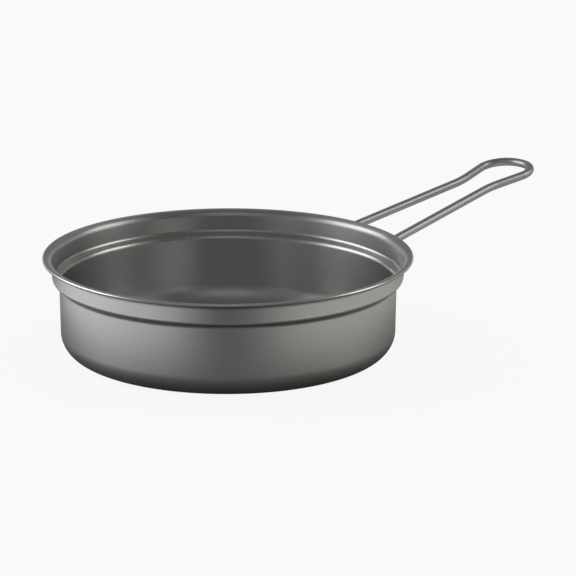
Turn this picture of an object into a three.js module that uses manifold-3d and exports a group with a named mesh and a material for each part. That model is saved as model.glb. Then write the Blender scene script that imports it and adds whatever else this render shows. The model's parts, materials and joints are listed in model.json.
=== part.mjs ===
// Camping pan with a folding wire handle, in millimetres, +Z up.
// The pan is one drawn sheet: flat base, round corner, plain wall, a step out to a band, and a flat
// lip with a rolled edge. A stamped bracket is spot-welded to the band under the lip, and the two
// ends of one bent wire turn in its ears.
// The origin is the middle of the base's underside and the handle points along +X.
import * as THREE from 'three';
import { mergeVertices } from 'three/addons/utils/BufferGeometryUtils.js';
import Module from 'manifold-3d';

// Pan: the drawn sheet
const SHEET = 0.5;
const PAN_HEIGHT = 43.2;
const LIP_RADIUS = 80;
const LIP_OVERHANG = 3.8;
const LIP_BEND = 2.4;
const LIP_ROLL = 0.35;
const LIP_RETURN = 1.1;
const BAND_DEPTH = 10.2;
const STEP_WIDTH = 3.35;
const STEP_DROP = 1.3;
const STEP_BEND = 2.1;
const WALL_TAPER = 0.45;
const BASE_CORNER = 10;
const PAN_SEGMENTS = 64;

// Handle: one wire, bent into a loop with a neck and a round end
const WIRE_DIAMETER = 3.8;
const WIRE_SIDES = 12;
const HANDLE_PITCH = THREE.MathUtils.degToRad(7.8);
const HANDLE_LENGTH = 116.9;
const BULB_LENGTH = 32.4;
const LEG_SPREAD = 30.3;
const NECK_SPREAD = 17.5;
const TIP_SPREAD = 29.3;
const NECK_BEND = 40;
const TIP_BEND = 11.6;
const ROOT_BEND_INSIDE = 0.75;
const PIN_TAIL = 1.6;

// Hinge: where the wire turns, and how far its legs drop so that they fold over the lip
const PIVOT_DEPTH = 4.4;
const FOLD_SAVING = 0.2;

// Bracket: one bent sheet with a curved leaf, two ears, and a lug on each ear that stops the leg
const BRACKET_SHEET = 1;
const BRACKET_BEND_INSIDE = 0.6;
const EAR_WALL = 0.9;
const LUG_WIDTH = 4.7;
const LUG_TOP_DROP = 1.1;
const LUG_CORNER = 1.2;
const WELD_RADIUS = 1.5;
const WELD_DEPTH = 0.35;
const WELD_PITCH = 6.5;
const WELD_COUNT = 3;

// Clearances
const WELD_GAP = 0.3;
const PIN_CLEARANCE = 0.3;
const END_PLAY = 0.3;
const STOP_GAP = 0.3;
const PIVOT_LIP_GAP = 0.2;
const LEAF_LIP_GAP = 0.5;
const LEAF_STEP_GAP = 1;

// Places worked out from the sizes above
const bandRadius = LIP_RADIUS - LIP_OVERHANG;
const wallRadius = bandRadius - STEP_WIDTH;
const wireRadius = WIRE_DIAMETER / 2;
const rootBend = ROOT_BEND_INSIDE + wireRadius;
const pivotX = LIP_RADIUS + PIVOT_LIP_GAP + wireRadius;
const pivotZ = PAN_HEIGHT - PIVOT_DEPTH;
const legDrop = PIVOT_DEPTH + wireRadius - FOLD_SAVING;
const earOuterY = LEG_SPREAD / 2 - rootBend - END_PLAY;
const earInnerY = earOuterY - BRACKET_SHEET;
const leafInnerRadius = bandRadius + WELD_GAP;
const leafOuterRadius = leafInnerRadius + BRACKET_SHEET;
const leafTop = PAN_HEIGHT - SHEET / 2 - LIP_BEND - LEAF_LIP_GAP;
const leafBottom = PAN_HEIGHT - BAND_DEPTH + LEAF_STEP_GAP;
const holeRadius = wireRadius + PIN_CLEARANCE;
const bossRadius = holeRadius + EAR_WALL;
const lugFaceX = pivotX - wireRadius - STOP_GAP;
const bracketBendOutside = BRACKET_BEND_INSIDE + BRACKET_SHEET;

const wasm = await Module();
wasm.setup();

// A closed geometry as a solid that can be joined and cut.
function solid(geometry) {
  const bare = geometry.clone();
  bare.deleteAttribute('normal');
  bare.deleteAttribute('uv');
  const merged = mergeVertices(bare, 1e-4);
  const vertProperties = new Float32Array(merged.attributes.position.array);
  const triVerts = new Uint32Array(merged.index.array);
  return new wasm.Manifold(new wasm.Mesh({ numProp: 3, vertProperties, triVerts }));
}

function geometryOf(manifold) {
  const { vertProperties, triVerts } = manifold.getMesh();
  const geometry = new THREE.BufferGeometry();
  geometry.setAttribute('position', new THREE.BufferAttribute(vertProperties, 3));
  geometry.setIndex(new THREE.BufferAttribute(triVerts, 1));
  geometry.computeVertexNormals();
  return geometry;
}

// The centreline of bent sheet or wire: straight runs joined by tangent arcs at the corners.
// Two bends that don't both fit on the run between them are made smaller in the same proportion.
function bentPath(corners) {
  const last = corners.length - 1;
  const heading = (i) => corners[i + 1].at.clone().sub(corners[i].at).normalize();
  const turnAt = (i) => (i === 0 || i === last ? 0 : heading(i - 1).angleTo(heading(i)));
  const reach = (i) => corners[i].bend * Math.tan(turnAt(i) / 2);
  const fit = (i) => Math.min(1, corners[i].at.distanceTo(corners[i + 1].at) / (reach(i) + reach(i + 1)));
  const stations = [{ point: corners[0].at, tangent: heading(0) }];
  for (let i = 1; i < last; i += 1) {
    const { at, bend, steps } = corners[i];
    const before = heading(i - 1);
    const turn = turnAt(i);
    const shrink = Math.min(fit(i - 1), fit(i));
    const setback = reach(i) * shrink;
    const radius = bend * shrink;
    const axis = before.clone().cross(heading(i)).normalize();
    const spoke = before.clone().cross(axis).multiplyScalar(radius);
    const centre = at.clone().addScaledVector(before, -setback).sub(spoke);
    for (let k = 0; k <= steps; k += 1) {
      const angle = (turn * k) / steps;
      stations.push({
        point: spoke.clone().applyAxisAngle(axis, angle).add(centre),
        tangent: before.clone().applyAxisAngle(axis, angle),
      });
    }
  }
  stations.push({ point: corners[last].at, tangent: heading(last - 1) });
  return stations;
}

// A curve that an extrusion follows station by station.
class StationCurve extends THREE.Curve {
  constructor(stations) {
    super();
    this.stations = stations;
  }

  station(t) {
    return this.stations[Math.round(t * (this.stations.length - 1))];
  }

  getPointAt(t, target = new THREE.Vector3()) {
    return target.copy(this.station(t).point);
  }

  getTangentAt(t, target = new THREE.Vector3()) {
    return target.copy(this.station(t).tangent);
  }
}

// The pan's sheet in section, x being the radius: base, corner, wall, step, band, lip and roll.
function sheetCorners() {
  const half = SHEET / 2;
  const corner = (x, z, bend, steps) => ({ at: new THREE.Vector3(x, 0, z), bend, steps });
  const edgeX = LIP_RADIUS - half;
  const lipZ = PAN_HEIGHT - half;
  const returnZ = lipZ - 2 * LIP_ROLL;
  return [
    corner(0, half, 0, 0),
    corner(wallRadius - WALL_TAPER - half, half, BASE_CORNER - half, 7),
    corner(wallRadius - half, PAN_HEIGHT - BAND_DEPTH - STEP_DROP, STEP_BEND, 4),
    corner(bandRadius - half, PAN_HEIGHT - BAND_DEPTH, STEP_BEND, 4),
    corner(bandRadius - half, lipZ, LIP_BEND, 5),
    corner(edgeX, lipZ, LIP_ROLL, 4),
    corner(edgeX, returnZ, LIP_ROLL, 4),
    corner(edgeX - LIP_RETURN, returnZ, 0, 0),
  ];
}

// The sheet's section has its thickness on both sides of the centreline and turns about the axis.
function panGeometry() {
  const stations = bentPath(sheetCorners());
  const side = (offset) => stations.map(({ point, tangent }) => new THREE.Vector2(
    Math.max(0, point.x + tangent.z * offset),
    point.z - tangent.x * offset,
  ));
  const outside = side(SHEET / 2);
  const inside = side(-SHEET / 2);
  const section = [...outside, ...inside.reverse()];
  const geometry = new THREE.LatheGeometry(section, PAN_SEGMENTS);
  geometry.rotateX(Math.PI / 2);
  return geometry;
}

// The wire from one pin round the loop to the other: pin, drop, leg, neck, flare, tip, and back.
function wireCorners() {
  const along = (reach, y) => new THREE.Vector3(
    pivotX + reach * Math.cos(HANDLE_PITCH),
    y,
    pivotZ - legDrop + reach * Math.sin(HANDLE_PITCH),
  );
  const half = [
    { at: new THREE.Vector3(pivotX, earInnerY - PIN_TAIL, pivotZ), bend: 0, steps: 0 },
    { at: new THREE.Vector3(pivotX, LEG_SPREAD / 2, pivotZ), bend: rootBend, steps: 6 },
    { at: along(0, LEG_SPREAD / 2), bend: rootBend, steps: 6 },
    { at: along(HANDLE_LENGTH - BULB_LENGTH, NECK_SPREAD / 2), bend: NECK_BEND, steps: 3 },
    { at: along(HANDLE_LENGTH, TIP_SPREAD / 2), bend: TIP_BEND, steps: 9 },
  ];
  const mirror = ({ at, bend, steps }) => ({ at: new THREE.Vector3(at.x, -at.y, at.z), bend, steps });
  return [...half, ...half.map(mirror).reverse()];
}

function wireGeometry() {
  const stations = bentPath(wireCorners());
  const section = new THREE.Shape();
  section.absarc(0, 0, wireRadius, 0, 2 * Math.PI);
  return new THREE.ExtrudeGeometry(section, {
    steps: stations.length - 1,
    curveSegments: WIRE_SIDES / 2,
    bevelEnabled: false,
    extrudePath: new StationCurve(stations),
  });
}

// The bracket's strip in plan: an ear, a bend, the leaf that follows the band, a bend, an ear.
function stripGeometry() {
  const bendY = earOuterY - bracketBendOutside;
  const bendX = Math.sqrt((leafInnerRadius + bracketBendOutside) ** 2 - bendY ** 2);
  const meet = Math.atan2(bendY, bendX);
  const endX = pivotX + bossRadius;
  const quarter = Math.PI / 2;
  const outline = new THREE.Shape();
  outline.moveTo(endX, earOuterY);
  outline.absarc(bendX, bendY, bracketBendOutside, quarter, Math.PI + meet, false);
  outline.absarc(0, 0, leafInnerRadius, meet, -meet, true);
  outline.absarc(bendX, -bendY, bracketBendOutside, Math.PI - meet, 3 * quarter, false);
  outline.lineTo(endX, -earOuterY);
  outline.lineTo(endX, -earInnerY);
  outline.absarc(bendX, -bendY, BRACKET_BEND_INSIDE, 3 * quarter, Math.PI - meet, true);
  outline.absarc(0, 0, leafOuterRadius, -meet, meet, false);
  outline.absarc(bendX, bendY, BRACKET_BEND_INSIDE, Math.PI + meet, quarter, true);
  outline.lineTo(endX, earInnerY);
  outline.closePath();
  const geometry = new THREE.ExtrudeGeometry(outline, {
    depth: pivotZ + bossRadius - leafBottom,
    curveSegments: 6,
    bevelEnabled: false,
  });
  geometry.translate(0, 0, leafBottom);
  return geometry;
}

// The outline that the strip is cut to, in side view: the leaf's height, then a round boss with a hole.
function cuttingGeometry() {
  const shoulder = Math.PI - Math.asin((leafTop - pivotZ) / bossRadius);
  const foot = new THREE.Vector2(lugFaceX - pivotX, leafBottom - pivotZ);
  const tangentEnd = foot.angle() - 2 * Math.PI + Math.acos(Math.min(1, bossRadius / foot.length()));
  const outline = new THREE.Shape();
  outline.moveTo(lugFaceX, leafBottom);
  outline.lineTo(wallRadius, leafBottom);
  outline.lineTo(wallRadius, leafTop);
  outline.absarc(pivotX, pivotZ, bossRadius, shoulder, tangentEnd, true);
  outline.closePath();
  const hole = new THREE.Path();
  hole.absarc(pivotX, pivotZ, holeRadius, 0, 2 * Math.PI);
  outline.holes.push(hole);
  const geometry = new THREE.ExtrudeGeometry(outline, {
    depth: LEG_SPREAD,
    curveSegments: 12,
    bevelEnabled: false,
  });
  geometry.rotateX(Math.PI / 2);
  geometry.translate(0, LEG_SPREAD / 2, 0);
  return geometry;
}

// A lug is turned out of the ear just behind the leg's drop: its bend in plan.
function lugGeometry() {
  const backX = lugFaceX - BRACKET_SHEET;
  const bendX = backX - BRACKET_BEND_INSIDE;
  const bendY = earOuterY + BRACKET_BEND_INSIDE;
  const tipY = earOuterY + LUG_WIDTH;
  const outline = new THREE.Shape();
  outline.moveTo(bendX, earInnerY);
  outline.absarc(bendX, bendY, bracketBendOutside, -Math.PI / 2, 0, false);
  outline.lineTo(lugFaceX, tipY);
  outline.lineTo(backX, tipY);
  outline.absarc(bendX, bendY, BRACKET_BEND_INSIDE, 0, -Math.PI / 2, true);
  outline.closePath();
  const geometry = new THREE.ExtrudeGeometry(outline, {
    depth: pivotZ - LUG_TOP_DROP - leafBottom,
    curveSegments: 6,
    bevelEnabled: false,
  });
  geometry.translate(0, 0, leafBottom);
  return geometry;
}

// The lug's free edge is rounded, seen along the handle.
function lugCuttingGeometry() {
  const tipY = earOuterY + LUG_WIDTH;
  const top = pivotZ - LUG_TOP_DROP;
  const outline = new THREE.Shape();
  outline.moveTo(0, leafBottom);
  outline.absarc(tipY - LUG_CORNER, leafBottom + LUG_CORNER, LUG_CORNER, -Math.PI / 2, 0, false);
  outline.absarc(tipY - LUG_CORNER, top - LUG_CORNER, LUG_CORNER, 0, Math.PI / 2, false);
  outline.lineTo(0, top);
  outline.closePath();
  const geometry = new THREE.ExtrudeGeometry(outline, {
    depth: pivotX - wallRadius,
    curveSegments: 5,
    bevelEnabled: false,
  });
  // The outline's x becomes Y, its y becomes Z and the depth becomes X.
  geometry.applyMatrix4(new THREE.Matrix4().makeBasis(
    new THREE.Vector3(0, 1, 0),
    new THREE.Vector3(0, 0, 1),
    new THREE.Vector3(1, 0, 0),
  ));
  geometry.translate(wallRadius, 0, 0);
  return geometry;
}

// The electrode leaves a shallow round dimple in the leaf at each spot weld.
function weldGeometry(index) {
  const angle = ((index - (WELD_COUNT - 1) / 2) * WELD_PITCH) / leafOuterRadius;
  const geometry = new THREE.CylinderGeometry(WELD_RADIUS, WELD_RADIUS, 2 * WELD_DEPTH, 20);
  geometry.rotateZ(Math.PI / 2);
  geometry.translate(leafOuterRadius, 0, (leafTop + leafBottom) / 2);
  geometry.rotateZ(angle);
  return geometry;
}

function bracketGeometry() {
  const lug = solid(lugGeometry()).intersect(solid(lugCuttingGeometry()));
  let bracket = solid(stripGeometry())
    .intersect(solid(cuttingGeometry()))
    .add(lug)
    .add(lug.mirror([0, 1, 0]));
  for (let i = 0; i < WELD_COUNT; i += 1) {
    bracket = bracket.subtract(solid(weldGeometry(i)));
  }
  return geometryOf(bracket);
}

function piece(name, geometry, material) {
  const mesh = new THREE.Mesh(geometry, material);
  mesh.name = name;
  return mesh;
}

const sheetMetal = new THREE.MeshStandardMaterial({ color: 0x8b8a86, roughness: 0.42, metalness: 1 });
const bracketMetal = new THREE.MeshStandardMaterial({ color: 0x85847f, roughness: 0.45, metalness: 1 });
const wireMetal = new THREE.MeshStandardMaterial({ color: 0x9b9a96, roughness: 0.34, metalness: 1 });

const campingPan = new THREE.Group();
campingPan.add(
  piece('pan_body', panGeometry(), sheetMetal),
  piece('hinge_bracket', bracketGeometry(), bracketMetal),
  piece('handle_wire', wireGeometry(), wireMetal),
);

export default campingPan;
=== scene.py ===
# %% [markdown]
# # A camping pan in satin titanium
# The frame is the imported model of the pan: its real sizes, its two bodies and its one hinge. This
# script dresses that frame. It makes a fine mesh for each of the three pieces, gives each a finish,
# and sets up a small studio round them. Everything is in metres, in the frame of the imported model.

# %% Load the frame
import json
import math

import bmesh
import bpy
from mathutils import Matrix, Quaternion, Vector


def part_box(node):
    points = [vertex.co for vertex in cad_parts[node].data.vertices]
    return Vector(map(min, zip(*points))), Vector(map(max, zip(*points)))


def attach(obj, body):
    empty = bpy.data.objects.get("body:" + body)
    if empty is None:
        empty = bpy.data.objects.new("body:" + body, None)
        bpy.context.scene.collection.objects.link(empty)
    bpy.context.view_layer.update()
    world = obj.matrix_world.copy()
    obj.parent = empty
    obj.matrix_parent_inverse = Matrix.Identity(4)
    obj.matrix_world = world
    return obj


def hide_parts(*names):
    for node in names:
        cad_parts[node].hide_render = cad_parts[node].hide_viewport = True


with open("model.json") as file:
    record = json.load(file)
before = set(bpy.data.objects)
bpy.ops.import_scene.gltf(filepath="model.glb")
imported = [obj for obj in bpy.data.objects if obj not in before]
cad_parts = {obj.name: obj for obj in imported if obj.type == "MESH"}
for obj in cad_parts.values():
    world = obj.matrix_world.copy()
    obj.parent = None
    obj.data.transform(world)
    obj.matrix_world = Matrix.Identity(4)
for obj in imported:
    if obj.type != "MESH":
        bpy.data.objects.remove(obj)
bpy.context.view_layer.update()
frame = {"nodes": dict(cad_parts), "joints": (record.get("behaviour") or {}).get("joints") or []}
MM = 0.001

# %% [markdown]
# ## The camera
# The camera that fits the photograph best looks down at about 15 degrees, with a long lens, from a
# metre and a half away, and the handle points away to the right. It is aimed at the middle of the
# rim first and then turned a little, so that the rim's middle lands where the photograph has it.
# Turning the camera, and not shifting its lens, keeps every other view centred on the pan.

# %% Place the camera
FRAME_PIXELS = 576
SENSOR_WIDTH = 36.0
FOCAL_PIXELS = 3475.6
RIM_CENTRE_PIXEL = (228.1, 253.8)
CAMERA_AZIMUTH = math.radians(-46)
CAMERA_ELEVATION = math.radians(15.17)
CAMERA_DISTANCE = 1.5
CAMERA_ROLL = math.radians(-0.2)
NEAREST, FARTHEST = 0.05, 50

_, pan_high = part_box("pan_body")
rim = pan_high.z
lip_radius = pan_high.x
rim_centre = Vector((0, 0, rim))


def compass(azimuth, elevation):
    """The direction from the pan towards a place at that azimuth and elevation."""
    level = math.cos(elevation)
    return Vector((math.sin(azimuth) * level, -math.cos(azimuth) * level, math.sin(elevation)))


def place_camera():
    towards = compass(CAMERA_AZIMUTH, CAMERA_ELEVATION)
    data = bpy.data.cameras.new("camera")
    data.sensor_width = SENSOR_WIDTH
    data.lens = FOCAL_PIXELS * SENSOR_WIDTH / FRAME_PIXELS
    data.clip_start = NEAREST
    data.clip_end = FARTHEST
    camera = bpy.data.objects.new("camera", data)
    bpy.context.collection.objects.link(camera)
    right = math.atan((FRAME_PIXELS / 2 - RIM_CENTRE_PIXEL[0]) / FOCAL_PIXELS)
    down = math.atan((FRAME_PIXELS / 2 - RIM_CENTRE_PIXEL[1]) / FOCAL_PIXELS)
    aim = (-towards).to_track_quat("-Z", "Y")
    aim = aim @ Quaternion((0, 1, 0), -right) @ Quaternion((1, 0, 0), -down)
    aim = aim @ Quaternion((0, 0, 1), CAMERA_ROLL)
    camera.rotation_mode = "QUATERNION"
    camera.rotation_quaternion = aim
    camera.location = rim_centre + CAMERA_DISTANCE * towards
    bpy.context.scene.camera = camera
    return camera


camera = place_camera()
print("camera at", [round(v, 3) for v in camera.location], "lens", round(camera.data.lens, 1), "mm")

# %% [markdown]
# ## Bent sheet and bent wire
# Drawn sheet and bent wire have the same kind of line: straight runs joined by round bends. One
# function makes both, from the sharp corners and a radius for each. It gives many short steps round
# a bend and none along a straight run, so that the mesh is fine only where the metal turns.


# %% Round off the corners of a line
def bent_line(corners):
    """Points along a line through corners of (place, bend radius, steps), with tangent arcs."""
    places = [Vector(place) for place, _, _ in corners]
    points = [places[0]]
    for i in range(1, len(corners) - 1):
        _, radius, steps = corners[i]
        before = (places[i] - places[i - 1]).normalized()
        after = (places[i + 1] - places[i]).normalized()
        turn = before.angle(after)
        setback = radius * math.tan(turn / 2)
        axis = before.cross(after).normalized()
        spoke = before.cross(axis) * radius
        centre = places[i] - before * setback - spoke
        for k in range(steps + 1):
            points.append(centre + Quaternion(axis, turn * k / steps) @ spoke)
    points.append(places[-1])
    return points


elbow = bent_line([((0, 0, 0), 0, 0), ((1, 0, 0), 0.2, 8), ((1, 0, 1), 0, 0)])
print("a right angle rounds off to", len(elbow), "points")

# %% [markdown]
# ## Geometry Nodes helpers
# Two of the pieces follow a rule: the pan is a section turned about an axis, and the handle is a
# round wire along a path. Both are Geometry Nodes trees with named inputs. The helpers add nodes
# and links, and the result is turned into a plain mesh at once, so that nothing stays live.


# %% A tree under construction
class NodeTree:
    """A Geometry Nodes tree under construction."""

    def __init__(self, name, sizes):
        self.tree = bpy.data.node_groups.new(name, "GeometryNodeTree")
        face = self.tree.interface
        face.new_socket("Geometry", in_out="OUTPUT", socket_type="NodeSocketGeometry")
        face.new_socket("Geometry", in_out="INPUT", socket_type="NodeSocketGeometry")
        self.identifiers = {}
        for label, kind in sizes.items():
            socket = face.new_socket(label, in_out="INPUT", socket_type=kind)
            self.identifiers[label] = socket.identifier
        self.start = self.tree.nodes.new("NodeGroupInput").outputs

    def add(self, kind, settings=None, inputs=None):
        """One node: settings are set first, then values or links of its inputs."""
        node = self.tree.nodes.new(kind)
        for key, value in (settings or {}).items():
            setattr(node, key, value)
        for key, value in (inputs or {}).items():
            if isinstance(value, bpy.types.NodeSocket):
                self.tree.links.new(value, node.inputs[key])
            else:
                node.inputs[key].default_value = value
        return node.outputs

    def math(self, operation, first, second):
        return self.add("ShaderNodeMath", {"operation": operation}, {0: first, 1: second})[0]

    def end(self, geometry):
        """Realize Instances and Set Material close every tree."""
        real = self.add("GeometryNodeRealizeInstances", None, {0: geometry})[0]
        coat = {"Geometry": real, "Material": self.start["Material"]}
        done = self.add("GeometryNodeSetMaterial", None, coat)[0]
        self.tree.links.new(done, self.tree.nodes.new("NodeGroupOutput").inputs[0])
        return self


print("trees are built by", NodeTree.__name__)

# %% Grow a plain mesh from a tree
MERGE_DISTANCE = 0.002 * MM


def link_object(name, mesh):
    piece = bpy.data.objects.new(name, mesh)
    bpy.context.collection.objects.link(piece)
    return piece


def grow(name, points, tree, values):
    """Runs a tree on a row of points joined by edges, and returns a plain mesh object."""
    row = bpy.data.meshes.new(name + "_row")
    row.from_pydata(points, [(i, i + 1) for i in range(len(points) - 1)], [])
    source = link_object(name + "_source", row)
    modifier = source.modifiers.new("grow", "NODES")
    modifier.node_group = tree.tree
    for label, value in values.items():
        modifier[tree.identifiers[label]] = value
    seen = source.evaluated_get(bpy.context.evaluated_depsgraph_get())
    mesh = bpy.data.meshes.new_from_object(seen)
    source.modifiers.remove(modifier)
    bpy.data.objects.remove(source)
    mesh.name = name
    return link_object(name, mesh)


def close_and_smooth(piece):
    """Merges doubles, points the faces of the closed shell outwards and shades them smooth."""
    work = bmesh.new()
    work.from_mesh(piece.data)
    bmesh.ops.remove_doubles(work, verts=work.verts, dist=MERGE_DISTANCE)
    bmesh.ops.dissolve_degenerate(work, edges=work.edges, dist=MERGE_DISTANCE)
    bmesh.ops.recalc_face_normals(work, faces=work.faces)
    open_edges = sum(1 for edge in work.edges if not edge.is_manifold)
    for face in work.faces:
        face.smooth = True
    work.to_mesh(piece.data)
    work.free()
    triangles = sum(len(face.vertices) - 2 for face in piece.data.polygons)
    print(piece.name, "has", triangles, "triangles and", open_edges, "open edges")


print("points closer than", MERGE_DISTANCE, "m are merged")

# %% [markdown]
# ## Shader maths
# A finish is arithmetic on where a point lies. One small class wraps a socket, so that sums in
# Python become Math nodes, and one of its methods adds any other node with its settings and inputs.
# The rest are short names for nodes that the finishes use often.


# %% Sums on sockets
class Shade:
    """An output socket in a material's tree. Arithmetic on it adds Math nodes."""

    def __init__(self, tree, socket=None):
        self.tree = tree
        self.socket = socket

    def node(self, kind, settings=None, inputs=None, output=0):
        """One node: settings are set first, then the values or links of its inputs."""
        node = self.tree.nodes.new(kind)
        for key, value in (settings or {}).items():
            setattr(node, key, value)
        for key, value in (inputs or {}).items():
            if isinstance(value, Shade):
                self.tree.links.new(value.socket, node.inputs[key])
            else:
                node.inputs[key].default_value = value
        return Shade(self.tree, node.outputs[output])

    def math(self, operation, first, second=0.0):
        return self.node("ShaderNodeMath", {"operation": operation}, {0: first, 1: second})

    def __add__(self, other):
        return self.math("ADD", self, other)

    def __radd__(self, other):
        return self.math("ADD", other, self)

    def __sub__(self, other):
        return self.math("SUBTRACT", self, other)

    def __rsub__(self, other):
        return self.math("SUBTRACT", other, self)

    def __mul__(self, other):
        return self.math("MULTIPLY", self, other)

    def __rmul__(self, other):
        return self.math("MULTIPLY", other, self)

    def __truediv__(self, other):
        return self.math("DIVIDE", self, other)

    def between(self, low, high):
        """0 below low, 1 above high, with a smooth slope."""
        ranges = {"Value": self, "From Min": low, "From Max": high, "To Min": 0.0, "To Max": 1.0}
        return self.node("ShaderNodeMapRange", {"interpolation_type": "SMOOTHSTEP"}, ranges)

    def window(self, start, rise, fall, stop):
        """1 from rise to fall, and 0 before start and after stop."""
        return self.between(start, rise) * (1 - self.between(fall, stop))

    def axes(self):
        """The three parts of a place."""
        return [self.node("ShaderNodeSeparateXYZ", None, {0: self}, output=k) for k in range(3)]

    def noise(self, size, detail):
        """Noise from 0 to 1 at a place, with its middle at a half."""
        inputs = {"Vector": self, "Scale": 1 / size, "Detail": detail}
        return self.node("ShaderNodeTexNoise", None, inputs)

    def mix(self, factor, first, second):
        """A colour between two colours."""
        inputs = {0: factor, 6: first, 7: second}
        return self.node("ShaderNodeMix", {"data_type": "RGBA"}, inputs, output=2)


print("sums are written on", Shade.__name__)

# %% Helpers for metal
WARMTH = 0.01
SCRATCH_DEPTH = 0.05 * MM
OBJECT_PLACE = 3


def metal(name, constants):
    """A metal's material, the place on the object, and the shader with its constants set."""
    material = bpy.data.materials.new(name)
    material.use_nodes = True
    tree = material.node_tree
    shader = tree.nodes["Principled BSDF"]
    shader.inputs["Metallic"].default_value = 1.0
    for label, value in constants.items():
        shader.inputs[label].default_value = value
    place = Shade(tree).node("ShaderNodeTexCoord", output=OBJECT_PLACE)
    print("made", name)
    return material, place, shader


def connect(shade, shader, label):
    shade.tree.links.new(shade.socket, shader.inputs[label])


def grey(level, warmth=WARMTH):
    """A grey of that linear level with a little less blue, as bare titanium has."""
    return (level, level, level * (1 - warmth), 1)


def mottled(tone, level, shares, warmth=WARMTH):
    """A grey that goes from one share of a level to another as a tone goes from 0 to 1."""
    low, high = (grey(level * share, warmth) for share in shares)
    return tone.mix(tone, low, high)


def scratch(lines, strength, shader):
    """A shallow bump along fine lines."""
    inputs = {"Strength": strength, "Distance": SCRATCH_DEPTH, "Height": lines}
    connect(lines.node("ShaderNodeBump", None, inputs), shader, "Normal")


print("middle grey of bare titanium:", grey(0.5))

# %% [markdown]
# ## The pan
# The pan is pressed from one disc of sheet, half a millimetre thick: a flat base, a round corner, a
# wall that opens very slightly, a step out to a band that opens a little too, and a flat lip whose
# edge is rolled under. A section through one side says it all. It follows the solid of the frame,
# with the band, the step and the lip's bend set to the lines that the photograph shows on the metal.

# %% The pan's section
SHEET = 0.5 * MM
LIP_OVERHANG = 3.8 * MM
LIP_BEND = 2.9 * MM
EDGE_DROP = 0.7 * MM
EDGE_BEND = 0.53 * MM
CURL_BEND = 0.15 * MM
LIP_RETURN = 1.1 * MM
BAND_DEPTH = 9.7 * MM
BAND_TAPER = 0.3 * MM
STEP_WIDTH = 3.35 * MM
STEP_DROP = 1.9 * MM
STEP_BEND = 2.1 * MM
WALL_TAPER = 0.45 * MM
BASE_CORNER = 10 * MM
ROUND_EDGE_STEPS = 8

half_sheet = SHEET / 2
band_radius = lip_radius - LIP_OVERHANG - half_sheet


def sheet_middle():
    """The middle of the sheet, x being the radius, from the base's centre to the lip's edge."""
    wall = band_radius - STEP_WIDTH
    edge = lip_radius - half_sheet
    under = rim - half_sheet - EDGE_DROP
    return bent_line([
        ((0, 0, half_sheet), 0, 0),
        ((wall - WALL_TAPER, 0, half_sheet), BASE_CORNER - half_sheet, 20),
        ((wall, 0, rim - BAND_DEPTH - STEP_DROP), STEP_BEND, 8),
        ((band_radius - BAND_TAPER, 0, rim - BAND_DEPTH), STEP_BEND, 8),
        ((band_radius, 0, rim - half_sheet), LIP_BEND, 14),
        ((edge, 0, rim - half_sheet), EDGE_BEND, 10),
        ((edge, 0, under), CURL_BEND, 6),
        ((edge - LIP_RETURN, 0, under), 0, 0),
    ])


def sheet_section():
    """Both faces of the sheet, joined round its edge by a half circle."""
    middle = sheet_middle()
    outside = []
    inside = []
    for i, point in enumerate(middle):
        ahead = middle[min(i + 1, len(middle) - 1)] - middle[max(i - 1, 0)]
        if i == 0:
            ahead = Vector((1, 0, 0))
        across = Vector((ahead.z, 0, -ahead.x)).normalized() * half_sheet
        outside.append(point + across)
        inside.append(point - across)
    round_edge = []
    for k in range(1, ROUND_EDGE_STEPS):
        angle = math.pi * k / ROUND_EDGE_STEPS
        spoke = Vector((-math.sin(angle), 0, math.cos(angle)))
        round_edge.append(middle[-1] + spoke * half_sheet)
    return outside + round_edge + inside[::-1]


pan_section = sheet_section()
print("the section has", len(pan_section), "points")

# %% [markdown]
# ## Satin sheet
# The pan's sheet is spun smooth: very fine rings run round it, on the wall as level lines and on
# the base as circles. Rings spread a reflection up and down and leave it narrow sideways, so the
# wall shows upright bands of light. The anisotropy of the shader does that. The rings themselves
# are noise on radius and height, and they stir the colour, the roughness and a shallow bump.
# The outermost edge of the lip is polished smoother and carries a painted highlight, the step is a
# little smoother than the wall, and painted shade darkens the creases under the lip and the band.
# A painted texture could hold all that.
# Masks worked out from the section's own sizes stay sharp and need no picture.

# %% Where the lip's edge is polished and painted bright, and where shade is painted
# Widths in from the lip's edge and depths below the rim, where each mask rises or falls.
EDGE_POLISH_AND_HIGHLIGHT_WIDTH = (0.6 * MM, 0.35 * MM)
EDGE_POLISH_AND_HIGHLIGHT_DEPTH = (0.7 * MM, 0.3 * MM)
# The two crease masks below carry painted shade.
CREASE_EDGE = 0.1 * MM
LIP_CREASE = (3.6 * MM, 2.4 * MM)
BAND_CREASE = (11.6 * MM, 11.0 * MM, 9.9 * MM, 9.3 * MM)
POLISHED_STEP = (12.7 * MM, 11.9 * MM, 9.0 * MM, 8.2 * MM)


def from_rim(depths):
    """Heights that lie those depths below the rim."""
    return [rim - depth for depth in depths]


def polished_and_highlighted_edge(radius, z):
    """1 on the outermost edge of the lip, on top, which is polished and given a painted highlight."""
    outermost = radius.between(*(lip_radius - width for width in EDGE_POLISH_AND_HIGHLIGHT_WIDTH))
    return outermost * z.between(*from_rim(EDGE_POLISH_AND_HIGHLIGHT_DEPTH))


def painted_shade_under_lip(radius, z):
    """1 on the underside of the bend between the band and the lip, where shade is painted into the
    colour.
    """
    out = radius - (band_radius + LIP_BEND)
    up = z - (rim - half_sheet - LIP_BEND)
    away = radius.math("SQRT", out * out + up * up)
    underside = 1 - away.between(LIP_BEND - half_sheet + CREASE_EDGE, LIP_BEND + CREASE_EDGE)
    return underside * z.between(*from_rim(LIP_CREASE))


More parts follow.
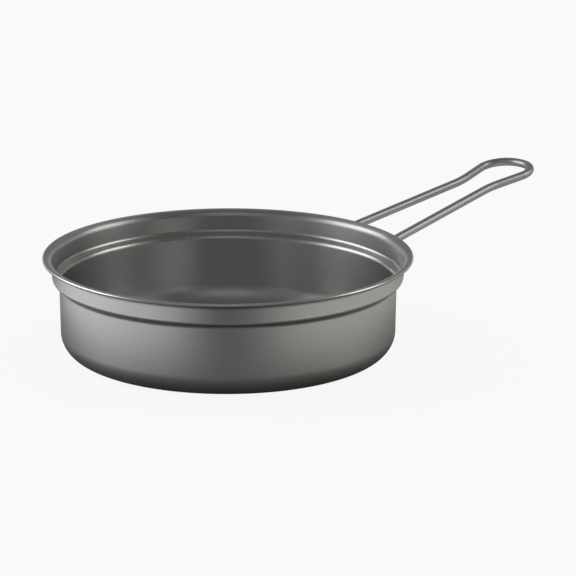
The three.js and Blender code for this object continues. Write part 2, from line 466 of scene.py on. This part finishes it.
def painted_shade_under_band(radius, z):
    """1 on the underside of the step, where shade is painted into the colour."""
    slope = math.atan2(STEP_DROP, STEP_WIDTH)
    out = radius - (band_radius - STEP_WIDTH / 2)
    up = z - (rim - BAND_DEPTH - STEP_DROP / 2)
    below = math.sin(slope) * out - math.cos(slope) * up
    return below.between(-CREASE_EDGE, CREASE_EDGE) * z.window(*from_rim(BAND_CREASE))


print("the band's crease lies from", from_rim(BAND_CREASE)[0], "to", from_rim(BAND_CREASE)[-1])

# %% Satin sheet material
SHEET_LEVEL = 0.55
SHEET_MOTTLE = (0.93, 1.07)
SHEET_ROUGHNESS = 0.29
RING_SPACING = 0.35 * MM
RING_DRIFT = 0.02
RING_TONE = 0.35
RING_ROUGHNESS = 0.06
RING_BUMP = 0.05
CLOUD_SIZE = 30 * MM
CLOUD_ROUGHNESS = 0.05
# The lip's outermost edge is painted much lighter than the sheet: a painted highlight.
EDGE_HIGHLIGHT_LEVEL = 0.9
EDGE_POLISH = 0.1
STEP_POLISH = 0.08
# The share of the sheet's level left in the creases under the lip and the band: painted shade.
PAINTED_SHADE_SHARE = 0.4
NOISE_DETAIL = 3.0


def satin_sheet():
    spun = {"Anisotropic": 0.7, "Anisotropic Rotation": 0.25}
    material, place, shader = metal("satin_titanium_sheet", spun)
    x, y, z = place.axes()
    radius = place.math("SQRT", x * x + y * y)
    drawn_out = {0: radius + x * RING_DRIFT, 1: z + y * RING_DRIFT, 2: 0.0}
    ring_place = place.node("ShaderNodeCombineXYZ", None, drawn_out)
    rings = ring_place.noise(RING_SPACING, NOISE_DETAIL)
    clouds = place.noise(CLOUD_SIZE, NOISE_DETAIL)
    edge_polish_and_highlight = polished_and_highlighted_edge(radius, z)
    # Painted shade: the colour is darkened in the creases under the lip and under the band.
    painted_shade = place.math("MAXIMUM", painted_shade_under_lip(radius, z), painted_shade_under_band(radius, z))
    tone = RING_TONE * rings + (1 - RING_TONE) * clouds
    colour = mottled(tone, SHEET_LEVEL, SHEET_MOTTLE)
    colour = place.mix(painted_shade, colour, grey(SHEET_LEVEL * PAINTED_SHADE_SHARE))
    # Painted highlight: the lip's outermost edge is lightened in colour; below, its roughness is
    # lowered as real polish.
    connect(place.mix(edge_polish_and_highlight, colour, grey(EDGE_HIGHLIGHT_LEVEL)), shader, "Base Color")
    rough = SHEET_ROUGHNESS + RING_ROUGHNESS * rings + CLOUD_ROUGHNESS * clouds
    rough = rough - EDGE_POLISH * edge_polish_and_highlight - STEP_POLISH * z.window(*from_rim(POLISHED_STEP))
    connect(rough, shader, "Roughness")
    scratch(rings, RING_BUMP, shader)
    return material


sheet_material = satin_sheet()

# %% [markdown]
# ## Turning the section
# On the real pan the press and the spinning lathe make every section the same. A screw modifier
# could turn the section, but a tree keeps the number of segments and the material as named inputs.
# It lays a grid whose columns are the section's points and whose rows are steps round the axis, and
# moves each point of the grid to its place.


# %% Turn the section about the axis
def turning_tree():
    sizes = {"Segments": "NodeSocketInt", "Material": "NodeSocketMaterial"}
    tree = NodeTree("turned_section", sizes)
    section = tree.start["Geometry"]
    counted = tree.add("GeometryNodeAttributeDomainSize", {"component": "MESH"}, {0: section})
    rows = tree.math("ADD", tree.start["Segments"], 1)
    size = {"Size X": 1.0, "Size Y": 1.0, "Vertices X": counted["Point Count"], "Vertices Y": rows}
    grid = tree.add("GeometryNodeMeshGrid", None, size)[0]
    index = tree.add("GeometryNodeInputIndex")[0]
    column = tree.math("DIVIDE", tree.math("ADD", index, 0.5), rows)
    station = tree.math("FLOOR", column, 0.0)
    step = tree.math("SUBTRACT", index, tree.math("MULTIPLY", station, rows))
    spot = tree.add("GeometryNodeInputPosition")[0]
    kind = {"data_type": "FLOAT_VECTOR", "domain": "POINT"}
    sampled = {"Geometry": section, "Value": spot, "Index": station}
    point = tree.add("GeometryNodeSampleIndex", kind, sampled)[0]
    parts = tree.add("ShaderNodeSeparateXYZ", None, {0: point})
    share = tree.math("DIVIDE", step, tree.start["Segments"])
    angle = tree.math("MULTIPLY", share, 2 * math.pi)
    x = tree.math("MULTIPLY", parts["X"], tree.math("COSINE", angle, 0.0))
    y = tree.math("MULTIPLY", parts["X"], tree.math("SINE", angle, 0.0))
    placed = tree.add("ShaderNodeCombineXYZ", None, {0: x, 1: y, 2: parts["Z"]})[0]
    moved = tree.add("GeometryNodeSetPosition", None, {"Geometry": grid, "Position": placed})[0]
    return tree.end(moved)


PAN_SEGMENTS = 320
turning = {"Segments": PAN_SEGMENTS, "Material": sheet_material}
pan_shell = grow("pan_shell", pan_section, turning_tree(), turning)
close_and_smooth(pan_shell)

# %% [markdown]
# ## Drawn wire
# The handle is drawn wire, a little darker and duller than the sheet and without its warmth. Drawing
# leaves very faint lines along the wire, and the bending tool rubs it unevenly. The lines are noise
# that is stretched along the handle. Scratches cut into the mesh would be too fine to show.

# %% Drawn wire material
WIRE_LEVEL = 0.5
WIRE_MOTTLE = (0.96, 1.04)
WIRE_WARMTH = 0
WIRE_ROUGHNESS = 0.37
DRAW_LINE = 0.25 * MM
LINE_STRETCH = 0.04
LINE_ROUGHNESS = 0.02
LINE_BUMP = 0.015
BURNISH_SIZE = 12 * MM
BURNISH_ROUGHNESS = 0.04
WIRE_DETAIL = 2.0


def drawn_wire():
    material, place, shader = metal("drawn_wire", {})
    along = {"Vector": place, "Scale": (LINE_STRETCH, 1.0, 1.0)}
    lines = place.node("ShaderNodeMapping", None, along).noise(DRAW_LINE, WIRE_DETAIL)
    clouds = place.noise(BURNISH_SIZE, WIRE_DETAIL)
    tone = (lines + clouds) / 2
    connect(mottled(tone, WIRE_LEVEL, WIRE_MOTTLE, WIRE_WARMTH), shader, "Base Color")
    rough = WIRE_ROUGHNESS + LINE_ROUGHNESS * lines + BURNISH_ROUGHNESS * clouds
    connect(rough, shader, "Roughness")
    scratch(lines, LINE_BUMP, shader)
    return material


wire_material = drawn_wire()

# %% [markdown]
# ## The handle
# One wire makes the whole handle. Each end is a pin that turns in the bracket, then the wire drops
# down, turns out into a leg, and the two legs draw together to a neck and open into a round end.
# The drop is what lets the legs pass over the lip when the handle is folded. The path is worked out
# from the hinge of the frame, and a tree sweeps a circle along it and closes the ends.

# %% The wire's path
WIRE_RADIUS = 1.9 * MM
HANDLE_PITCH = math.radians(7.8)
HANDLE_LENGTH = 116.9 * MM
BULB_LENGTH = 32.4 * MM
LEG_SPREAD = 30.3 * MM
NECK_SPREAD = 17.5 * MM
TIP_SPREAD = 29.3 * MM
NECK_BEND = 40 * MM
TIP_BEND = 11.6 * MM
ROOT_BEND = 2.65 * MM
LEG_DROP = 6.1 * MM
PIN_END = 9.6 * MM

hinge = Vector(frame["joints"][0]["pos_m"])


def wire_path():
    def along(reach, y):
        x = hinge.x + reach * math.cos(HANDLE_PITCH)
        return Vector((x, y, hinge.z - LEG_DROP + reach * math.sin(HANDLE_PITCH)))

    half = [
        (Vector((hinge.x, PIN_END, hinge.z)), 0, 0),
        (Vector((hinge.x, LEG_SPREAD / 2, hinge.z)), ROOT_BEND, 12),
        (along(0, LEG_SPREAD / 2), ROOT_BEND, 12),
        (along(HANDLE_LENGTH - BULB_LENGTH, NECK_SPREAD / 2), NECK_BEND, 12),
        (along(HANDLE_LENGTH, TIP_SPREAD / 2), TIP_BEND, 28),
    ]
    other = [(Vector((p.x, -p.y, p.z)), bend, steps) for p, bend, steps in reversed(half)]
    return bent_line(half + other)


handle_path = wire_path()
print("the wire's path has", len(handle_path), "points")


# %% Sweep the wire
def wire_tree():
    sizes = {
        "Radius": "NodeSocketFloat",
        "Sides": "NodeSocketInt",
        "Material": "NodeSocketMaterial",
    }
    tree = NodeTree("swept_wire", sizes)
    path = tree.add("GeometryNodeMeshToCurve", None, {0: tree.start["Geometry"]})[0]
    circle = {"Resolution": tree.start["Sides"], "Radius": tree.start["Radius"]}
    ring = tree.add("GeometryNodeCurvePrimitiveCircle", None, circle)[0]
    swept = {"Curve": path, "Profile Curve": ring, "Fill Caps": True}
    return tree.end(tree.add("GeometryNodeCurveToMesh", None, swept)[0])


WIRE_SIDES = 40
sweep = {"Radius": WIRE_RADIUS, "Sides": WIRE_SIDES, "Material": wire_material}
handle_loop = grow("handle_loop", handle_path, wire_tree(), sweep)
close_and_smooth(handle_loop)

# %% [markdown]
# ## Stamped sheet
# The bracket is stamped from one millimetre sheet and spot-welded to the band, out of sight under
# the lip. Stamped sheet has a fine even grain. Each weld leaves a disc of heat colour, blue within
# and straw round it. The discs are worked out from the places of the welds on the leaf, so they
# need no painted picture.

# %% Stamped sheet material
BRACKET_LEVEL = 0.55
BRACKET_MOTTLE = (0.9, 1.08)
BRACKET_ROUGHNESS = 0.36
GRAIN_ROUGHNESS = 0.12
GRAIN_BUMP = 0.08
GRAIN_SIZE = 0.5 * MM
LEAF_FACE = 1.3 * MM
LEAF_MIDDLE = 3.02 * MM
WELD_PITCH = 6.5 * MM
STRAW = (0.42, 0.33, 0.2, 1)
STRAW_REACH = (1.5 * MM, 2.6 * MM)
STRAW_SHARE = 0.5
BLUE_HEAT = (0.2, 0.24, 0.36, 1)
BLUE_REACH = (1.2 * MM, 1.885 * MM)
BLUE_SHARE = 0.35

bracket_low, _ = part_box("hinge_bracket")


def weld_spots(place, reach):
    """1 on the three welds, falling to 0 between the two distances of a reach."""
    leaf = lip_radius - LIP_OVERHANG + LEAF_FACE
    spots = 0.0
    for k in (-1, 0, 1):
        angle = k * WELD_PITCH / leaf
        centre = Vector((leaf * math.cos(angle), leaf * math.sin(angle), bracket_low.z + LEAF_MIDDLE))
        ends = {0: place, 1: centre}
        away = place.node("ShaderNodeVectorMath", {"operation": "DISTANCE"}, ends, output=1)
        spots = place.math("MAXIMUM", 1 - away.between(*reach), spots)
    return spots


def stamped_sheet():
    material, place, shader = metal("stamped_sheet", {})
    grain = place.noise(GRAIN_SIZE, NOISE_DETAIL)
    colour = mottled(grain, BRACKET_LEVEL, BRACKET_MOTTLE)
    colour = place.mix(STRAW_SHARE * weld_spots(place, STRAW_REACH), colour, STRAW)
    colour = place.mix(BLUE_SHARE * weld_spots(place, BLUE_REACH), colour, BLUE_HEAT)
    connect(colour, shader, "Base Color")
    connect(BRACKET_ROUGHNESS + GRAIN_ROUGHNESS * grain, shader, "Roughness")
    scratch(grain, GRAIN_BUMP, shader)
    return material


bracket_material = stamped_sheet()

# %% [markdown]
# ## The bracket
# The bracket's solid in the frame has the right shape, so a copy of it is taken and its loose
# triangles are merged. Its sharp edges get the small rounding that tumbling leaves, and its round
# ears are drawn in a little, so that they stay out of sight below the lip. Building it again from
# curves would only repeat the solid.

# %% Round the bracket's edges
EDGE_ROUNDING = 0.14 * MM
ROUNDING_STEPS = 3
ROUND_PROFILE = 0.5
SHARP_EDGE = math.radians(35)
SHARP_SHADING = math.radians(30)
FLAT_ENOUGH = math.radians(1)
EAR_RADIUS = 2.62 * MM
# The solid's ears are 3.1 mm in radius, and the limit lies just past them.
EAR_LIMIT = 3.16 * MM


def draw_in_ears(work):
    """Brings the upper round of the ears closer to the hinge."""
    for vert in work.verts:
        spoke = Vector((vert.co.x - hinge.x, 0, vert.co.z - hinge.z))
        if spoke.z > 0 and EAR_RADIUS < spoke.length < EAR_LIMIT:
            vert.co += spoke * (EAR_RADIUS / spoke.length - 1)


def rounded_copy(node, name, material):
    work = bmesh.new()
    work.from_mesh(frame["nodes"][node].data)
    draw_in_ears(work)
    bmesh.ops.remove_doubles(work, verts=work.verts, dist=MERGE_DISTANCE)
    bmesh.ops.dissolve_limit(work, angle_limit=FLAT_ENOUGH, verts=work.verts, edges=work.edges)
    solid_edges = [edge for edge in work.edges if edge.is_manifold]
    sharp = [edge for edge in solid_edges if edge.calc_face_angle() > SHARP_EDGE]
    bmesh.ops.bevel(work, geom=sharp, offset=EDGE_ROUNDING, offset_type="OFFSET",
                    segments=ROUNDING_STEPS, profile=ROUND_PROFILE, affect="EDGES", clamp_overlap=True)
    for face in work.faces:
        face.smooth = True
    mesh = bpy.data.meshes.new(name)
    work.to_mesh(mesh)
    work.free()
    mesh.set_sharp_from_angle(angle=SHARP_SHADING)
    mesh.materials.append(material)
    print(name, "has", len(mesh.polygons), "faces after rounding", len(sharp), "edges")
    return link_object(name, mesh)


welded_bracket = rounded_copy("hinge_bracket", "welded_bracket", bracket_material)

# %% [markdown]
# ## Which piece moves with what
# The pan and its bracket are one body, and the handle turns on the hinge. Each piece stands for the
# solid of the frame that it follows.

# %% Tie the pieces to the frame
for piece, body, node, slot in (
    (pan_shell, "pan", "pan_body", "pan_sheet"),
    (welded_bracket, "pan", "hinge_bracket", "bracket_sheet"),
    (handle_loop, "handle", "handle_wire", "wire"),
):
    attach(piece, body)
    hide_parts(node)
    print(piece.name, "rides on", body)

# %% [markdown]
# ## White paper and a white world
# The pan was set on plain white with a faint shadow. Strong light on a white floor would also light
# the metal from below. So the paper and the world show their white to the camera, and to the rays
# that reach them by way of metal or glass, and the paper keeps a share of the light that falls on
# it for the shadow.

# %% Floor and world
PAPER = 0.975
MATT_WHITE = 0.9
SHADOW_SHARE = 0.07
WORLD_STRENGTH = 0.5
FLOOR_HALF = 12
FLOOR_DROP = 0.2 * MM
CAMERA_RAY, GLOSSY_RAY, CLEAR_RAY = 0, 3, 6


def sees_background(shade):
    """1 for rays from the camera, or by way of metal or glass."""
    camera_ray, glossy_ray, clear_ray = (
        shade.node("ShaderNodeLightPath", output=kind) for kind in (CAMERA_RAY, GLOSSY_RAY, CLEAR_RAY)
    )
    return shade.math("MINIMUM", camera_ray + glossy_ray + clear_ray, 1.0)


def white_world():
    world = bpy.data.worlds.new("studio")
    bpy.context.scene.world = world
    world.use_nodes = True
    background = world.node_tree.nodes["Background"]
    background.inputs["Color"].default_value = (PAPER, PAPER, PAPER, 1)
    seen = sees_background(Shade(world.node_tree))
    connect(WORLD_STRENGTH + (1 - WORLD_STRENGTH) * seen, background, "Strength")


def bare_material(name):
    """A material with nothing but its output."""
    material = bpy.data.materials.new(name)
    material.use_nodes = True
    tree = material.node_tree
    tree.nodes.remove(tree.nodes["Principled BSDF"])
    return material, Shade(tree), tree.nodes["Material Output"]


def paper():
    """White paper: to the camera mostly its own white, and a share of the light on it."""
    material, shade, output = bare_material("white_paper")
    matt_colour = (MATT_WHITE, MATT_WHITE, MATT_WHITE, 1)
    matt = shade.node("ShaderNodeBsdfDiffuse", None, {"Color": matt_colour})
    white = shade.node("ShaderNodeEmission", None, {"Color": (PAPER, PAPER, PAPER, 1)})
    factor = (1 - SHADOW_SHARE) * sees_background(shade)
    mixed = shade.node("ShaderNodeMixShader", None, {0: factor, 1: matt, 2: white})
    connect(mixed, output, "Surface")
    return material


def stage_piece(name, mesh, material):
    mesh.materials.append(material)
    piece = link_object(name, mesh)
    return piece


def plane_mesh(name, half, z):
    corners = [(-half, -half, z), (half, -half, z), (half, half, z), (-half, half, z)]
    mesh = bpy.data.meshes.new(name)
    mesh.from_pydata(corners, [], [(0, 1, 2, 3)])
    return mesh


white_world()
floor = stage_piece("floor", plane_mesh("floor", FLOOR_HALF, -FLOOR_DROP), paper())
print("white floor", 2 * FLOOR_HALF, "m wide")

# %% [markdown]
# ## What the metal mirrors
# A shiny thing shows what stands round it. The bands on this pan fit a tent of white cloth, lit from
# both sides and more from the left, with a dark room behind the camera. A picture of a room could
# stand in for that. Here the cloth and the ground under it are surfaces that only the metal can see,
# in eight panels of their own brightness that blend into each other.

# %% The light on the cloth and on the ground
ROOF_LEVEL = 0.13
CONTACT_SHADE = (56 * MM, 108 * MM)
RING_LEVEL = 0.19
RING_END = (110 * MM, 144 * MM)
GROUND_FAR = (150 * MM, 260 * MM)
CLOTH_MIDDLE = (0.08, 0.2)
CLOTH_UPPER = (0.4, 0.6)
CLOTH_ROOF = (1.0, 1.5)
PANEL_TURN = math.radians(45)
# Turn from the camera's side, then the light on the near ground, on the far ground, and on the
# foot, the middle and the upper part of the cloth.
PANELS = (
    (-135, 0.3, 0.3, 0.8, 0.22, 0.15),
    (-90, 1.3, 0.5, 1.7, 1.2, 0.4),
    (-45, 1.15, 0.4, 0.6, 0.15, 0.2),
    (0, 0.15, 0.1, 0.1, 0.16, 0.42),
    (45, 0.9, 0.28, 0.36, 0.06, 0.1),
    (90, 0.78, 0.32, 1.0, 0.38, 0.45),
    (135, 0.4, 0.35, 0.5, 0.3, 0.12),
    (180, 0.2, 0.2, 0.7, 0.15, 0.4),
)


def panel_share(side, behind, turn):
    """1 in the middle of a panel, falling to 0 at the middle of the next one."""
    angle = math.radians(turn)
    across = side * math.cos(angle) + behind * math.sin(angle)
    along = side * math.sin(angle) - behind * math.cos(angle)
    away = side.math("ABSOLUTE", side.math("ARCTAN2", across, along))
    return 1 - away.between(0, PANEL_TURN)


def ground_level(reach, side, behind):
    """Dark under the pan, a shaded ring round it, then the panels."""
    far = reach.between(*GROUND_FAR)
    out = reach.between(*RING_END)
    level = RING_LEVEL * reach.between(*CONTACT_SHADE) * (1 - out)
    for turn, near_level, far_level, _, _, _ in PANELS:
        part = (near_level * (1 - far) + far_level * far) * out
        level = level + panel_share(side, behind, turn) * part
    return level


def cloth_level(steepness, side, behind):
    """The panels in three heights, under a dim roof. Steepness is height over reach."""
    middle = steepness.between(*CLOTH_MIDDLE)
    upper = steepness.between(*CLOTH_UPPER)
    roof = steepness.between(*CLOTH_ROOF)
    level = ROOF_LEVEL * roof
    for turn, _, _, foot_level, middle_level, upper_level in PANELS:
        part = foot_level * (1 - middle) + middle_level * middle * (1 - upper)
        part = part + upper_level * upper * (1 - roof)
        level = level + panel_share(side, behind, turn) * part
    return level


print(len(PANELS), "panels of light")

# %% Hang the cloth and lay the ground
LEFT_LIGHT = (1, 1, 1, 1)
RIGHT_LIGHT = (0.985, 1, 0.93, 1)
RIGHT_SIDE = (0.1, 0.6)
TENT_RADIUS = 3.2
TENT_HEIGHT = 6.4
TENT_SINK = 0.01
TENT_SIDES = 48
GROUND_DROP = 0.1 * MM
AXIS_GAP = 1 * MM
FACING_DOWN = -0.9


def lit_cloth(name, is_ground):
    """Cloth or ground that glows by its panels, a little yellower on the right."""
    material, shade, output = bare_material(name)
    place = shade.node("ShaderNodeTexCoord", output=OBJECT_PLACE)
    x, y, z = place.axes()
    reach = place.math("SQRT", x * x + y * y) + AXIS_GAP
    side = (x * math.cos(CAMERA_AZIMUTH) + y * math.sin(CAMERA_AZIMUTH)) / reach
    behind = (y * math.cos(CAMERA_AZIMUTH) - x * math.sin(CAMERA_AZIMUTH)) / reach
    if is_ground:
        level = ground_level(reach, side, behind)
    else:
        level = cloth_level(z / reach, side, behind)
    tint = place.mix(side.between(*RIGHT_SIDE), LEFT_LIGHT, RIGHT_LIGHT)
    glow = place.node("ShaderNodeEmission", None, {"Color": tint, "Strength": level})
    connect(glow, output, "Surface")
    return material


def tent_mesh():
    """An upright round wall with a roof."""
    work = bmesh.new()
    bmesh.ops.create_cone(work, cap_ends=True, segments=TENT_SIDES, depth=TENT_HEIGHT,
                          radius1=TENT_RADIUS, radius2=TENT_RADIUS)
    bmesh.ops.translate(work, verts=work.verts, vec=(0, 0, TENT_HEIGHT / 2 - TENT_SINK))
    bottom = [face for face in work.faces if face.normal.z < FACING_DOWN]
    bmesh.ops.delete(work, geom=bottom, context="FACES_ONLY")
    mesh = bpy.data.meshes.new("tent")
    work.to_mesh(mesh)
    work.free()
    return mesh


def only_for_metal(piece):
    """The piece shows in reflections and nowhere else."""
    piece.visible_camera = False
    piece.visible_diffuse = False
    piece.visible_shadow = False
    piece.visible_transmission = False


ground_mesh = plane_mesh("ground", TENT_RADIUS, -GROUND_DROP)
ground = stage_piece("ground", ground_mesh, lit_cloth("shaded_ground", True))
tent = stage_piece("tent", tent_mesh(), lit_cloth("tent_cloth", False))
only_for_metal(ground)
only_for_metal(tent)
print("stage:", floor.name, ground.name, tent.name)

# %% [markdown]
# ## Soft boxes
# Three soft boxes add the light that the glowing cloth leaves out: one at each side of the pan, and
# a smaller one farther round on the left that picks out the rim. Area lights stand in for them, and
# they also cast the pan's faint shadow on the paper. Sharper lamps would leave hard spots on metal.

# %% Set up the soft boxes
BOX_DISTANCE = 1.6
# Name, turn from the camera's side, elevation, width, height and power.
SOFT_BOXES = (
    ("left_box", -99, 31, 1.0, 0.7, 3.5),
    ("right_box", 98, 31, 0.9, 0.65, 2.7),
    ("rim_box", -124, 24, 0.6, 0.6, 1.7),
)


def soft_box(name, turn, elevation, width, height, power):
    """A soft box at an angle to the camera's side of the pan, facing the pan."""
    towards = compass(CAMERA_AZIMUTH + math.radians(turn), math.radians(elevation))
    data = bpy.data.lights.new(name, "AREA")
    data.shape = "RECTANGLE"
    data.size = width
    data.size_y = height
    data.energy = power
    lamp = link_object(name, data)
    lamp.location = rim_centre + towards * BOX_DISTANCE
    lamp.rotation_mode = "QUATERNION"
    lamp.rotation_quaternion = (-towards).to_track_quat("-Z", "Y")


for box in SOFT_BOXES:
    soft_box(*box)
print(len(SOFT_BOXES), "soft boxes")

# %% [markdown]
# ## Finishing
# The scene is shown through the standard view transform.

# %% Finish
bpy.context.scene.view_settings.view_transform = "Standard"
